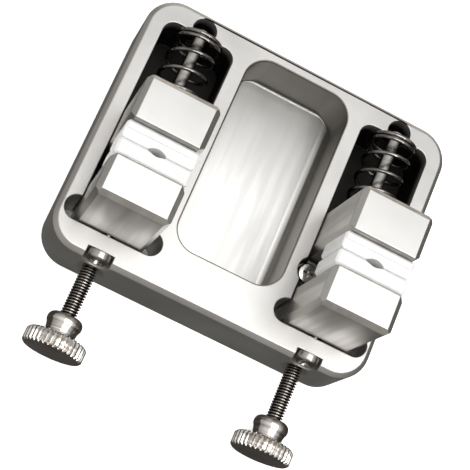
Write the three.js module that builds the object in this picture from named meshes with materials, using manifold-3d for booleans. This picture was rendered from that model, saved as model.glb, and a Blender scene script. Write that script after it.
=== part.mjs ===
// Twin sprung bench clamp with a parts tray, for holding watch movements and bands.
//
// Millimetres, +Z up. The origin is the middle of the base's underside. X runs from the left
// clamp to the right clamp, and -Y is the front, where the two thumb screws are. Each clamp
// has a fixed front jaw and a rear jaw that slides back along +Y on a guide rod when the thumb
// screw is driven in. A compression spring behind the rear jaw closes it again.

import * as THREE from "three";
import { mergeVertices } from "three/addons/utils/BufferGeometryUtils.js";
import Module from "manifold-3d";

const wasm = await Module();
wasm.setup();

// ---------------------------------------------------------------- driving dimensions

const ROUND_SIDES = 32; // sides of a small round
const BORE_SIDES = 24; // sides of a bore
const CORNER_STEPS = 6; // straight steps in a quarter round

// base block
const baseLength = 82;
const baseDepth = 68;
const baseHeight = 18;
const baseEdgeChamfer = 1.2;
const baseCornerRadius = 8;
const floorThickness = 3.5; // left under the tray and the clamp pockets

// parts tray
const trayWidth = 27.6;
const trayFrontWall = 12; // from the base's front face to the tray
const trayBackWall = 3.4;
const trayCornerRadius = 6;
const traySideFillet = 2.5; // along the two long sides of the floor
const trayEndFillet = 0.8;
const trayWall = 4.05; // between the tray and a clamp pocket

// clamp pockets, one on each side of the tray
const pocketWidth = 18.5;
const pocketFrontWall = 6.5;
const pocketBackWall = 5.9;
const pocketCornerRadius = 3;
const reliefRadius = 3; // round corner reliefs at the front, and the notch for the rod's end
const rodNotchCentre = 4.3; // from the base's rear face to the notch's centre
const counterboreRadius = 3.5; // for the hold-down washer, into the tray-side wall
const counterboreInset = 2.1; // from the pocket wall to the counterbore's axis

// jaws
const jawSideGap = 0.25;
const jawFloorGap = 0.3;
const jawTop = 43;
const jawChamfer = 1.3;
const jawPadChamfer = 0.4; // the top edge beside the pad
const frontJawDepth = 10;
const frontJawGap = 0.3; // between the front jaw and the pocket's front wall
const rearJawDepth = 11.5;
const footHeight = 12.5; // top of the front jaw's foot, above the underside of the base
const footGap = 0.6; // between the foot and the rear jaw
const footLap = 1; // how far the foot reaches into the jaw it grows from

// pads on the jaws
const padFit = 0.1; // adhesive line between a pad and its jaw
const frontPadDepth = 4.1;
const rearPadDepth = 4.4;
const padParting = 0.1; // between the two pads when the clamp is closed
const padBottom = 27.8;
const padTop = 41.9;
const padSideInset = 0.2; // from a jaw's side to a pad's side
const padEdge = 0.7;
const padRidgeDepth = 2.1; // the rear pad's higher stripe, beside its jaw
const padStep = 0.35;
const gripLength = 4.6; // small lens-shaped grip hole on the parting line
const gripDepth = 0.9; // into each pad

// guide rods: long pan-head screws through the front wall
const rodHeight = 16.5; // axis above the underside of the base
const rodRadius = 1.6;
const rodNeckRadius = 0.95; // through the front wall, under the base's top face
const rodBoreClearance = 0.3;
const rodEndInset = 4; // from the base's rear face to the rod's end
const panHeadRadius = 3;
const panHeadHeight = 2.3;
const panHeadFlat = 0.62; // share of the head's radius that is flat on top
const panHeadShoulder = 0.88; // share of the radius where the crown turns down
const panHeadCrown = 0.96; // height of the rounded crown
const rodEndChamfer = 0.3;
const headSlotClearance = 0.3;
const headSlotDepth = 2.7; // the slot for the head, in from the front face
const headGap = 0.3; // under the head

// thumb screws
const screwHeight = 9; // axis above the underside of the base
const threadRadius = 2;
const threadClearance = 0.3;
const mouthRadius = 3.6; // countersink in the front wall
const knobRadius = 7.4;
const knobDepth = 3.8;
const knobEdge = 0.5;
const knobRidges = 36;
const knobRidgeHeight = 0.4;
const collarLength = 5.5;
const collarRadius = 4.3;
const collarWaist = 3.7;
const collarWaistEnd = 1.2; // from the knob to where the collar starts to flare
const collarLip = { start: 2.2, widest: 1.5, round: 0.3, inset: 0.8 }; // from the collar's back
const collarRoot = 0.6; // flat ring round the thread, on the collar's back
const tipChamfer = 0.5;
const exposedThread = { left: 12.4, right: 13.4 };
const tipGap = 0.3; // between the tip of the screw that is further in and its rear jaw

// springs
const springRadius = 5.6; // to the middle of the wire
const wireRadius = 0.5;
const wireSides = 6;
const springSeatGap = 0.4;
const springPitch = 5;
const closedPitch = 1.15; // in the closed turns at each end
const closedTurns = { rear: 1.5, front: 0.75 };
const stepsPerTurn = 14;

// hold-down screw and washer on each front jaw's foot
const washerRadius = 3;
const washerThickness = 0.5;
const washerHole = 1.8;
const holdDownHeadRadius = 2.7;
const holdDownHeadHeight = 2;
const holdDownShankRadius = 1.5;
const holdDownReach = 2.8; // below the pocket floor
const holdDownDome = { edge: 0.9, shoulder: 0.3, shoulderShare: 0.86, flatShare: 0.6 };
const shankClearance = 0.3;
const seatGap = 0.3; // under a washer and under a head

// countersunk bolts up through the floor into each front jaw
const boltSpacing = 11;
const boltRadius = 1.5;
const boltHeadRadius = 2.8;
const boltHeadHeight = 1.5;
const boltHeadRim = 0.2;
const boltHeadSink = 0.3; // below the underside of the base
const boltReach = 6; // into the front jaw

// ---------------------------------------------------------------- derived places

const baseFront = -baseDepth / 2;
const baseBack = baseDepth / 2;
const trayFront = baseFront + trayFrontWall;
const trayBack = baseBack - trayBackWall;
const pocketFront = baseFront + pocketFrontWall;
const pocketBack = baseBack - pocketBackWall;
const pocketInner = trayWidth / 2 + trayWall;
const clampX = pocketInner + pocketWidth / 2;
const cutAbove = 5; // cutters run this far past the face they cut
const headSlotRadius = panHeadRadius + headSlotClearance;
const headSlotBack = baseFront + headSlotDepth;

const jawWidth = pocketWidth - 2 * jawSideGap;
const jawBottom = floorThickness + jawFloorGap;
const frontJawFront = pocketFront + frontJawGap;
const frontJawBack = frontJawFront + frontJawDepth;
const frontPadFront = frontJawBack + padFit;
const frontPadBack = frontPadFront + frontPadDepth;
const rearPadFront = frontPadBack + padParting;
const rearPadBack = rearPadFront + rearPadDepth;
const rearJawFront = rearPadBack + padFit;
const rearJawBack = rearJawFront + rearJawDepth;
const footBack = rearJawFront - footGap;
const rodEnd = baseBack - rodEndInset;
const holdDownY = (frontJawBack + footBack) / 2;
const holdDownX = pocketInner + counterboreInset; // distance from the middle of the base
const boltY = frontJawFront + frontJawDepth / 2;

// ---------------------------------------------------------------- shape helpers

function solid(geometry) {
  const bare = geometry.clone();
  bare.deleteAttribute("normal");
  bare.deleteAttribute("uv");
  const merged = mergeVertices(bare, 1e-5);
  return new wasm.Manifold(
    new wasm.Mesh({
      numProp: 3,
      vertProperties: Float32Array.from(merged.attributes.position.array),
      triVerts: Uint32Array.from(merged.index.array),
    })
  );
}

function geometryOf(body) {
  const mesh = body.getMesh();
  const geometry = new THREE.BufferGeometry();
  geometry.setAttribute("position", new THREE.BufferAttribute(mesh.vertProperties, 3));
  geometry.setIndex(new THREE.BufferAttribute(mesh.triVerts, 1));
  return geometry;
}

function box(x0, x1, y0, y1, z0, z1) {
  const geometry = new THREE.BoxGeometry(x1 - x0, y1 - y0, z1 - z0);
  geometry.translate((x0 + x1) / 2, (y0 + y1) / 2, (z0 + z1) / 2);
  return solid(geometry);
}

// A rectangle with round corners, as a closed outline.
function roundedOutline(x0, x1, y0, y1, radius) {
  const outline = new THREE.Shape();
  outline.absarc(x1 - radius, y1 - radius, radius, 0, Math.PI / 2);
  outline.absarc(x0 + radius, y1 - radius, radius, Math.PI / 2, Math.PI);
  outline.absarc(x0 + radius, y0 + radius, radius, Math.PI, 1.5 * Math.PI);
  outline.absarc(x1 - radius, y0 + radius, radius, 1.5 * Math.PI, 2 * Math.PI);
  outline.closePath();
  return outline;
}

function upright(outline, z0, z1) {
  const geometry = new THREE.ExtrudeGeometry(outline, {
    depth: z1 - z0,
    bevelEnabled: false,
    curveSegments: CORNER_STEPS,
  });
  geometry.translate(0, 0, z0);
  return solid(geometry);
}

// An outline drawn in X and Z, extruded along +Y from y0 to y1.
function alongY(outline, y0, y1, curveSegments = CORNER_STEPS) {
  const depth = y1 - y0;
  const geometry = new THREE.ExtrudeGeometry(outline, { depth, bevelEnabled: false, curveSegments });
  geometry.rotateX(Math.PI / 2);
  geometry.translate(0, y1, 0);
  return solid(geometry);
}

// An outline drawn in Y and Z, extruded along +X from x0 to x1.
function alongX(outline, x0, x1, curveSegments = CORNER_STEPS) {
  const depth = x1 - x0;
  const geometry = new THREE.ExtrudeGeometry(outline, { depth, bevelEnabled: false, curveSegments });
  geometry.rotateX(Math.PI / 2);
  geometry.rotateZ(Math.PI / 2);
  geometry.translate(x0, 0, 0);
  return solid(geometry);
}

// A solid of revolution about an upright axis: profile points are [radius, height].
function uprightTurned(profile, x, y, sides = ROUND_SIDES) {
  const points = profile.map(([radius, height]) => new THREE.Vector2(radius, height));
  const geometry = new THREE.LatheGeometry(points, sides);
  geometry.rotateX(Math.PI / 2);
  geometry.translate(x, y, 0);
  return solid(geometry);
}

// The same, about an axis along Y: profile heights are Y.
function turnedAlongY(profile, x, z, sides = ROUND_SIDES) {
  const points = profile.map(([radius, height]) => new THREE.Vector2(radius, height));
  const geometry = new THREE.LatheGeometry(points, sides);
  geometry.translate(x, 0, z);
  return solid(geometry);
}

function uprightRod(x, y, radius, z0, z1, sides = BORE_SIDES) {
  return uprightTurned([[0, z0], [radius, z0], [radius, z1], [0, z1]], x, y, sides);
}

function rodAlongY(x, z, radius, y0, y1, sides = BORE_SIDES) {
  return turnedAlongY([[0, y0], [radius, y0], [radius, y1], [0, y1]], x, z, sides);
}

// A block whose four upright edges and top edges are chamfered. The top edges at the front and
// at the back can have a chamfer of their own.
function chamferedBlock(x0, x1, y0, y1, z0, z1, chamfer, front = chamfer, back = chamfer) {
  const along = new THREE.Shape([
    new THREE.Vector2(x0, z0),
    new THREE.Vector2(x1, z0),
    new THREE.Vector2(x1, z1 - chamfer),
    new THREE.Vector2(x1 - chamfer, z1),
    new THREE.Vector2(x0 + chamfer, z1),
    new THREE.Vector2(x0, z1 - chamfer),
  ]);
  const across = new THREE.Shape([
    new THREE.Vector2(y0, z0),
    new THREE.Vector2(y1, z0),
    new THREE.Vector2(y1, z1 - back),
    new THREE.Vector2(y1 - back, z1),
    new THREE.Vector2(y0 + front, z1),
    new THREE.Vector2(y0, z1 - front),
  ]);
  const plan = new THREE.Shape([
    new THREE.Vector2(x0 + chamfer, y0),
    new THREE.Vector2(x1 - chamfer, y0),
    new THREE.Vector2(x1, y0 + chamfer),
    new THREE.Vector2(x1, y1 - chamfer),
    new THREE.Vector2(x1 - chamfer, y1),
    new THREE.Vector2(x0 + chamfer, y1),
    new THREE.Vector2(x0, y1 - chamfer),
    new THREE.Vector2(x0, y0 + chamfer),
  ]);
  return alongY(along, y0, y1).intersect(alongX(across, x0, x1)).intersect(upright(plan, z0, z1));
}

// ---------------------------------------------------------------- base plate

// The block, whose top edge is chamfered all round, as a bevelled extrusion turned over.
function baseBlank() {
  const inner = roundedOutline(
    -baseLength / 2 + baseEdgeChamfer,
    baseLength / 2 - baseEdgeChamfer,
    baseFront + baseEdgeChamfer,
    baseBack - baseEdgeChamfer,
    baseCornerRadius - baseEdgeChamfer
  );
  const geometry = new THREE.ExtrudeGeometry(inner, {
    depth: 2 * baseHeight,
    bevelEnabled: true,
    bevelThickness: baseEdgeChamfer,
    bevelSize: baseEdgeChamfer,
    bevelSegments: 1,
    curveSegments: CORNER_STEPS,
  });
  geometry.translate(0, 0, -baseHeight - baseEdgeChamfer);
  const reach = baseLength + baseDepth;
  return solid(geometry).intersect(box(-reach, reach, -reach, reach, 0, baseHeight));
}

// The tray's section across its length: straight walls with a fillet at each side of the floor.
function traySection(half, floor, top, fillet) {
  const outline = new THREE.Shape();
  outline.moveTo(half, top);
  outline.lineTo(-half, top);
  outline.lineTo(-half, floor + fillet);
  outline.absarc(-half + fillet, floor + fillet, fillet, Math.PI, 1.5 * Math.PI);
  outline.lineTo(half - fillet, floor);
  outline.absarc(half - fillet, floor + fillet, fillet, 1.5 * Math.PI, 2 * Math.PI);
  outline.closePath();
  return outline;
}

function trayCutter() {
  const half = trayWidth / 2;
  const top = baseHeight + cutAbove;
  const plan = upright(
    roundedOutline(-half, half, trayFront, trayBack, trayCornerRadius),
    floorThickness,
    top
  );
  const sides = alongY(traySection(half, floorThickness, top, traySideFillet), trayFront, trayBack);
  const endHalf = (trayBack - trayFront) / 2;
  const ends = traySection(endHalf, floorThickness, top, trayEndFillet);
  const endCutter = alongX(ends, -half, half).translate([0, (trayBack + trayFront) / 2, 0]);
  return plan.intersect(sides).intersect(endCutter);
}

// One clamp pocket with its corner reliefs, rod notch, counterbore and front-wall holes.
function pocketCutters(side) {
  const centre = side * clampX;
  const left = centre - pocketWidth / 2;
  const right = centre + pocketWidth / 2;
  const top = baseHeight + cutAbove;
  const pocket = new THREE.Shape();
  pocket.moveTo(left, pocketFront);
  pocket.lineTo(right, pocketFront);
  const cornerY = pocketBack - pocketCornerRadius;
  pocket.absarc(right - pocketCornerRadius, cornerY, pocketCornerRadius, 0, Math.PI / 2);
  pocket.absarc(left + pocketCornerRadius, cornerY, pocketCornerRadius, Math.PI / 2, Math.PI);
  pocket.closePath();
  const reliefY = pocketFront + reliefRadius;
  const notchY = baseBack - rodNotchCentre;
  const slot = new THREE.Shape();
  slot.moveTo(centre + headSlotRadius, top);
  slot.lineTo(centre - headSlotRadius, top);
  slot.absarc(centre, rodHeight, headSlotRadius, Math.PI, 2 * Math.PI);
  slot.closePath();
  const past = baseFront - cutAbove;
  const mouth = mouthRadius - threadRadius - threadClearance;
  const cutters = [
    upright(pocket, floorThickness, top),
    uprightRod(left, reliefY, reliefRadius, floorThickness, top),
    uprightRod(right, reliefY, reliefRadius, floorThickness, top),
    uprightRod(centre, notchY, reliefRadius, floorThickness, top),
    uprightRod(side * holdDownX, holdDownY, counterboreRadius, floorThickness, top),
    alongY(slot, past, headSlotBack, 2 * CORNER_STEPS),
    rodAlongY(centre, rodHeight, rodNeckRadius + rodBoreClearance, past, pocketFront + cutAbove),
    turnedAlongY(
      [
        [0, past],
        [mouthRadius, past],
        [mouthRadius, baseFront],
        [mouthRadius - mouth, baseFront + mouth],
        [mouthRadius - mouth, pocketFront + cutAbove],
        [0, pocketFront + cutAbove],
      ],
      centre,
      screwHeight
    ),
    uprightRod(
      side * holdDownX,
      holdDownY,
      holdDownShankRadius + shankClearance,
      -cutAbove,
      floorThickness + cutAbove
    ),
  ];
  for (const offset of [-boltSpacing / 2, boltSpacing / 2]) {
    cutters.push(boltCutter(centre + offset, boltY));
  }
  return cutters;
}

// A countersunk through hole in the floor for one bolt.
function boltCutter(x, y) {
  const hole = boltRadius + shankClearance;
  const head = boltHeadRadius + shankClearance;
  return uprightTurned(
    [
      [0, -cutAbove],
      [head, -cutAbove],
      [head, boltHeadSink + shankClearance],
      [hole, boltHeadSink + shankClearance + head - hole],
      [hole, floorThickness + cutAbove],
      [0, floorThickness + cutAbove],
    ],
    x,
    y,
    BORE_SIDES
  );
}

function basePlate() {
  let body = baseBlank().subtract(trayCutter());
  for (const side of [-1, 1]) {
    for (const cutter of pocketCutters(side)) {
      body = body.subtract(cutter);
    }
  }
  return body;
}

// ---------------------------------------------------------------- jaws and pads

function frontJaw(side) {
  const centre = side * clampX;
  const left = centre - jawWidth / 2;
  const right = centre + jawWidth / 2;
  const block = chamferedBlock(
    left,
    right,
    frontJawFront,
    frontJawBack,
    jawBottom,
    jawTop,
    jawChamfer,
    jawChamfer,
    jawPadChamfer
  );
  const foot = box(
    left + jawChamfer,
    right - jawChamfer,
    frontJawBack - jawChamfer - footLap,
    footBack,
    jawBottom,
    footHeight
  );
  let body = block.add(foot);
  const boreFront = frontJawFront - cutAbove;
  const boreBack = footBack + cutAbove;
  const screwBore = threadRadius + threadClearance;
  const rodBore = rodRadius + rodBoreClearance;
  body = body.subtract(rodAlongY(centre, screwHeight, screwBore, boreFront, boreBack));
  body = body.subtract(rodAlongY(centre, rodHeight, rodBore, boreFront, boreBack));
  const hole = holdDownShankRadius + shankClearance;
  body = body.subtract(uprightRod(side * holdDownX, holdDownY, hole, 0, footHeight + cutAbove));
  for (const offset of [-boltSpacing / 2, boltSpacing / 2]) {
    const top = jawBottom + boltReach + shankClearance;
    body = body.subtract(uprightRod(centre + offset, boltY, boltRadius + shankClearance, 0, top));
  }
  return body;
}

function rearJaw(side) {
  const centre = side * clampX;
  const block = chamferedBlock(
    centre - jawWidth / 2,
    centre + jawWidth / 2,
    rearJawFront,
    rearJawBack,
    jawBottom,
    jawTop,
    jawChamfer,
    jawPadChamfer
  );
  const bore = rodRadius + rodBoreClearance;
  const boreFront = rearJawFront - cutAbove;
  const boreBack = rearJawBack + cutAbove;
  return block.subtract(rodAlongY(centre, rodHeight, bore, boreFront, boreBack));
}

// Half of the lens-shaped grip hole, reaching `gripDepth` to one side of the parting line.
function gripCutter(centre, y, direction) {
  const half = gripLength / 2;
  const lens = new THREE.Shape();
  lens.moveTo(centre - half, y - direction * padParting);
  lens.lineTo(centre - half, y);
  lens.quadraticCurveTo(centre, y + direction * 2 * gripDepth, centre + half, y);
  lens.lineTo(centre + half, y - direction * padParting);
  lens.closePath();
  return upright(lens, padBottom - cutAbove, padTop + cutAbove);
}

function padBlock(centre, front, back) {
  const half = jawWidth / 2 - padSideInset;
  return chamferedBlock(centre - half, centre + half, front, back, padBottom, padTop, padEdge);
}

function frontPad(side) {
  const centre = side * clampX;
  const block = padBlock(centre, frontPadFront, frontPadBack);
  return block.subtract(gripCutter(centre, frontPadBack, -1));
}

function rearPad(side) {
  const centre = side * clampX;
  const block = padBlock(centre, rearPadFront, rearPadBack);
  const ridgeFront = rearPadBack - padRidgeDepth;
  const step = box(
    centre - pocketWidth,
    centre + pocketWidth,
    rearPadFront - cutAbove,
    ridgeFront,
    padTop - padStep,
    padTop + cutAbove
  );
  return block.subtract(step).subtract(gripCutter(centre, rearPadFront, 1));
}

// ---------------------------------------------------------------- screws, rods and washers

// A long screw: pan head in the front slot, smooth shank to the rear notch.
function guideRod(side) {
  const under = headSlotBack - headGap;
  const face = under - panHeadHeight;
  return turnedAlongY(
    [
      [0, face],
      [panHeadRadius * panHeadFlat, face],
      [panHeadRadius * panHeadShoulder, face + panHeadCrown / 4],
      [panHeadRadius, face + panHeadCrown],
      [panHeadRadius, under],
      [rodNeckRadius, under],
      [rodNeckRadius, frontJawFront],
      [rodRadius, frontJawFront],
      [rodRadius, rodEnd - rodEndChamfer],
      [rodRadius - rodEndChamfer, rodEnd],
      [0, rodEnd],
    ],
    side * clampX,
    rodHeight
  );
}

// Straight ridges round the knob, as one star-shaped outline.
function knurlOutline(radius) {
  const outline = new THREE.Shape();
  const steps = 2 * knobRidges;
  for (let step = 0; step < steps; step += 1) {
    const angle = (2 * Math.PI * step) / steps;
    const reach = step % 2 === 0 ? radius : radius - knobRidgeHeight;
    const x = reach * Math.cos(angle);
    const y = reach * Math.sin(angle);
    if (step === 0) {
      outline.moveTo(x, y);
    } else {
      outline.lineTo(x, y);
    }
  }
  outline.closePath();
  return outline;
}

function thumbScrew(side) {
  const name = side < 0 ? "left" : "right";
  const centre = side * clampX;
  const collarBack = baseFront - exposedThread[name];
  const collarFront = collarBack - collarLength;
  const knobFront = collarFront - knobDepth;
  const backedOff = exposedThread[name] - Math.min(exposedThread.left, exposedThread.right);
  const tip = rearJawFront - tipGap - backedOff;
  const shank = turnedAlongY(
    [
      [0, knobFront + knobEdge],
      [collarWaist, knobFront + knobEdge],
      [collarWaist, collarFront + collarWaistEnd],
      [(collarWaist + 3 * collarRadius) / 4, collarBack - collarLip.start],
      [collarRadius, collarBack - collarLip.widest],
      [collarRadius - collarLip.inset, collarBack - collarLip.round],
      [threadRadius + collarRoot, collarBack],
      [threadRadius, collarBack],
      [threadRadius, tip - tipChamfer],
      [threadRadius - tipChamfer, tip],
      [0, tip],
    ],
    centre,
    screwHeight
  );
  const ridges = alongY(knurlOutline(knobRadius), knobFront, collarFront);
  const knurl = ridges.translate([centre, 0, screwHeight]);
  const edge = turnedAlongY(
    [
      [0, knobFront],
      [knobRadius - knobEdge, knobFront],
      [knobRadius, knobFront + knobEdge],
      [knobRadius, collarFront - knobEdge],
      [knobRadius - knobEdge, collarFront],
      [0, collarFront],
    ],
    centre,
    screwHeight,
    2 * knobRidges
  );
  return knurl.intersect(edge).add(shank);
}

function washer(side) {
  const bottom = footHeight + seatGap;
  const top = bottom + washerThickness;
  return uprightTurned(
    [
      [washerHole, bottom],
      [washerRadius, bottom],
      [washerRadius, top],
      [washerHole, top],
      [washerHole, bottom],
    ],
    side * holdDownX,
    holdDownY
  );
}

function holdDownScrew(side) {
  const under = footHeight + seatGap + washerThickness + seatGap;
  const top = under + holdDownHeadHeight;
  return uprightTurned(
    [
      [0, floorThickness - holdDownReach],
      [holdDownShankRadius, floorThickness - holdDownReach],
      [holdDownShankRadius, under],
      [holdDownHeadRadius, under],
      [holdDownHeadRadius, top - holdDownDome.edge],
      [holdDownHeadRadius * holdDownDome.shoulderShare, top - holdDownDome.shoulder],
      [holdDownHeadRadius * holdDownDome.flatShare, top],
      [0, top],
    ],
    side * holdDownX,
    holdDownY
  );
}

function jawBolt(side, offset) {
  return uprightTurned(
    [
      [0, boltHeadSink],
      [boltHeadRadius, boltHeadSink],
      [boltHeadRadius, boltHeadSink + boltHeadRim],
      [boltRadius, boltHeadSink + boltHeadHeight],
      [boltRadius, jawBottom + boltReach],
      [0, jawBottom + boltReach],
    ],
    side * clampX + offset,
    boltY,
    BORE_SIDES
  );
}

// ---------------------------------------------------------------- springs

const springFront = rearJawBack + springSeatGap + wireRadius;
const springBack = pocketBack - springSeatGap - wireRadius;

// How far along Y the wire's middle has moved after `turn` turns from the rear end.
function springPlan() {
  const closed = (closedTurns.rear + closedTurns.front) * closedPitch;
  const openTurns = (springBack - springFront - closed) / springPitch;
  return { openTurns, turns: closedTurns.rear + openTurns + closedTurns.front };
}

class SpringCurve extends THREE.Curve {
  constructor(centre) {
    super();
    this.centre = centre;
    this.plan = springPlan();
  }

  getPoint(share, target = new THREE.Vector3()) {
    const turn = share * this.plan.turns;
    const rear = Math.min(turn, closedTurns.rear);
    const open = Math.min(Math.max(turn - closedTurns.rear, 0), this.plan.openTurns);
    const front = Math.max(turn - closedTurns.rear - this.plan.openTurns, 0);
    const travel = (rear + front) * closedPitch + open * springPitch;
    const angle = 2 * Math.PI * turn;
    return target.set(
      this.centre + springRadius * Math.cos(angle),
      springBack - travel,
      rodHeight + springRadius * Math.sin(angle)
    );
  }
}

function spring(side) {
  const section = new THREE.Shape();
  for (let step = 0; step < wireSides; step += 1) {
    const angle = (2 * Math.PI * step) / wireSides;
    const x = wireRadius * Math.cos(angle);
    const y = wireRadius * Math.sin(angle);
    if (step === 0) {
      section.moveTo(x, y);
    } else {
      section.lineTo(x, y);
    }
  }
  section.closePath();
  const curve = new SpringCurve(side * clampX);
  const steps = Math.round(curve.plan.turns * stepsPerTurn);
  return solid(new THREE.ExtrudeGeometry(section, { steps, extrudePath: curve, bevelEnabled: false }));
}

// ---------------------------------------------------------------- the assembly

const finishes = {
  aluminium: { color: 0xd6d4cf, roughness: 0.45, metalness: 0.9 },
  plastic: { color: 0xf2f2f0, roughness: 0.5, metalness: 0 },
  nickel: { color: 0xa9a49c, roughness: 0.25, metalness: 1 },
  springSteel: { color: 0x2b2926, roughness: 0.25, metalness: 1 },
  groundSteel: { color: 0xa8a49b, roughness: 0.3, metalness: 1 },
};

const holder = new THREE.Group();

function place(name, body, finish) {
  const mesh = new THREE.Mesh(geometryOf(body), new THREE.MeshStandardMaterial(finishes[finish]));
  mesh.name = name;
  holder.add(mesh);
}

place("base_plate", basePlate(), "aluminium");
for (const [name, side] of [["left", -1], ["right", 1]]) {
  place(`${name}_front_jaw`, frontJaw(side), "aluminium");
  place(`${name}_rear_jaw`, rearJaw(side), "aluminium");
  place(`${name}_front_pad`, frontPad(side), "plastic");
  place(`${name}_rear_pad`, rearPad(side), "plastic");
  place(`${name}_spring`, spring(side), "springSteel");
  place(`${name}_guide_rod`, guideRod(side), "groundSteel");
  place(`${name}_thumb_screw`, thumbScrew(side), "nickel");
  place(`${name}_hold_down_washer`, washer(side), "nickel");
  place(`${name}_hold_down_screw`, holdDownScrew(side), "nickel");
  place(`${name}_inner_jaw_bolt`, jawBolt(side, (-side * boltSpacing) / 2), "nickel");
  place(`${name}_outer_jaw_bolt`, jawBolt(side, (side * boltSpacing) / 2), "nickel");
}

export default holder;
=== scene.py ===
"""A bench holder for watch movements: a machined base with a parts tray and two sprung clamps.

Metres, +Z up. X runs from the left clamp to the right clamp, and -Y is the front, where the
two thumb screws are. The jaws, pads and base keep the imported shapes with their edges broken.
The springs, rods, screws and washers are modelled here in their place.
"""

import math

import bmesh
import bpy
from mathutils import Matrix, Vector


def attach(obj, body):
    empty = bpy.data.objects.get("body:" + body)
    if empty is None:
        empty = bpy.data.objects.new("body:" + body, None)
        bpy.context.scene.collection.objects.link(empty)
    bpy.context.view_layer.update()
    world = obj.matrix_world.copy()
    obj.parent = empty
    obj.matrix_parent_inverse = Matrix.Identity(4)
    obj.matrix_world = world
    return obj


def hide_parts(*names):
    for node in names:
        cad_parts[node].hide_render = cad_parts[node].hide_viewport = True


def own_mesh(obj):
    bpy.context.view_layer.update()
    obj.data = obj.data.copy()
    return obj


MM = 0.001
TURN = 2 * math.pi
SIDES = {"left": -1, "right": 1}

# Sizes below are in millimetres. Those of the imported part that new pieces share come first.

# the base, its tray and its clamp pockets
BASE_HEIGHT = 18.0
FLOOR_HEIGHT = 3.5
TRAY_HALF = 13.8
TRAY_MIDDLE = 4.3
TRAY_REACH = 26.4  # from the tray's middle to its front and back walls
CLAMP_X = 27.1
POCKET_REACH = 12.9  # from a clamp's middle plane, past the corner reliefs
POCKET_FRONT = -27.6
POCKET_MIDDLE = 0.3
POCKET_BACK = 33.2

# guide rods: long pan-head screws with a smooth shank
ROD_HEIGHT = 16.5
ROD_RADIUS = 1.6
ROD_NECK_RADIUS = 0.95
ROD_SHOULDER = -27.2
ROD_HEAD_FACE = -33.9
ROD_HEAD_UNDER = -31.6
ROD_HEAD_RADIUS = 3.0
ROD_END = 30.0
ROD_CROSS = (1.4, 1.75, 0.42)  # depth, half length and half width of the cross recess

# thumb screws
SCREW_HEIGHT = 9.0
COLLAR_BACK = {"left": -46.4, "right": -47.4}
SCREW_TIP = {"left": -8.7, "right": -9.7}
COLLAR_LENGTH = 5.5
COLLAR_RADIUS = 4.3
COLLAR_WAIST = 3.7
KNOB_DEPTH = 3.8
KNOB_RADIUS = 7.4
KNOB_RIDGES = 36
RIDGE_STEPS = 6  # steps of the lathe in each ridge
RIDGE_DEPTH = 0.55
GROOVE_SLOPE = 3.4  # how quickly a groove falls off, over one ridge
THREAD_RADIUS = 2.0
THREAD_ROOT = 1.48
THREAD_PITCH = 0.7
THREAD_STEPS = 32
# painted shade: the thumb screws' threads are painted dark inside this radius
GROOVE_SHADE = 1.85  # the thread is dark inside this radius

# springs
SPRING_RADIUS = 5.6
SPRING_WIRE = 0.5  # radius of the wire
SPRING_REAR = 27.2
SPRING_FRONT = 4.0
SPRING_PITCH = 5.0
SPRING_CLOSED_PITCH = 1.15
SPRING_CLOSED_REAR = 1.5  # closed turns at the rear end
SPRING_CLOSED_FRONT = 0.75  # and at the front end
SPRING_STEPS = 40  # steps of the sweep in each turn

# hold-down screws and their washers
HOLD_DOWN_X = 19.95
HOLD_DOWN_Y = -13.1
HOLD_DOWN_FOOT = 0.7
HOLD_DOWN_RADIUS = 1.5
HOLD_DOWN_HEAD = 2.7
HOLD_DOWN_HEAD_HEIGHT = 2.0
HOLD_DOWN_CROSS = (1.2, 1.5, 0.36)
SEAT_GAP = 0.3  # between the washer and the screw's head
WASHER_BOTTOM = 12.8
WASHER_THICKNESS = 0.5
WASHER_RADIUS = 3.0
WASHER_HOLE = 1.8

# bolts from below into the front jaws
BOLT_OFFSET = 5.5
BOLT_Y = -22.2
BOLT_BOTTOM = 0.3
BOLT_TOP = 9.8
BOLT_RADIUS = 1.5
BOLT_HEAD_RADIUS = 2.8
BOLT_SOCKET_RADIUS = 1.15
BOLT_SOCKET_DEPTH = 1.2

# how a tapered recess is cut
RECESS_TAPER = 0.6  # width at the bottom, as a share of the width at the face
RECESS_LEAD = 0.6  # how far the cutter stands out of the face

# broken edges
BASE_EDGE = 0.22
TRAY_RIM_EDGE = 0.42
JAW_EDGE = 0.10
PAD_EDGE = 0.12
SHARP_FROM = 28  # degrees between faces, from which an edge is broken

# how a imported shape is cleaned
MERGE_WITHIN = 0.03
FLAT_WITHIN = 0.4  # degrees

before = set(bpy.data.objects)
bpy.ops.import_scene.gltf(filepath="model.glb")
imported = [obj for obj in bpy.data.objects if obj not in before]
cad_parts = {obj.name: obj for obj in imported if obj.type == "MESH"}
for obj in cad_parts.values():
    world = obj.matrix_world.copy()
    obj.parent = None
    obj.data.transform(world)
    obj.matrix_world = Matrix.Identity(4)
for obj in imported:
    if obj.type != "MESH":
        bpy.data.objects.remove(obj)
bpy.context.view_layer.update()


# ---------------------------------------------------------------- camera, floor and light

# sockets of a mix node that is set to colours
MIX_FIRST = 6
MIX_SECOND = 7
MIX_RESULT = 2

CAMERA_AIM = Vector((-0.44, -13.55, 18.0)) * MM
CAMERA_DISTANCE = 328.0 * MM
CAMERA_AZIMUTH = math.radians(-26.03)
CAMERA_ELEVATION = math.radians(68.95)
CAMERA_ROLL = math.radians(51.12)
CAMERA_LENS = 107.3


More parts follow.
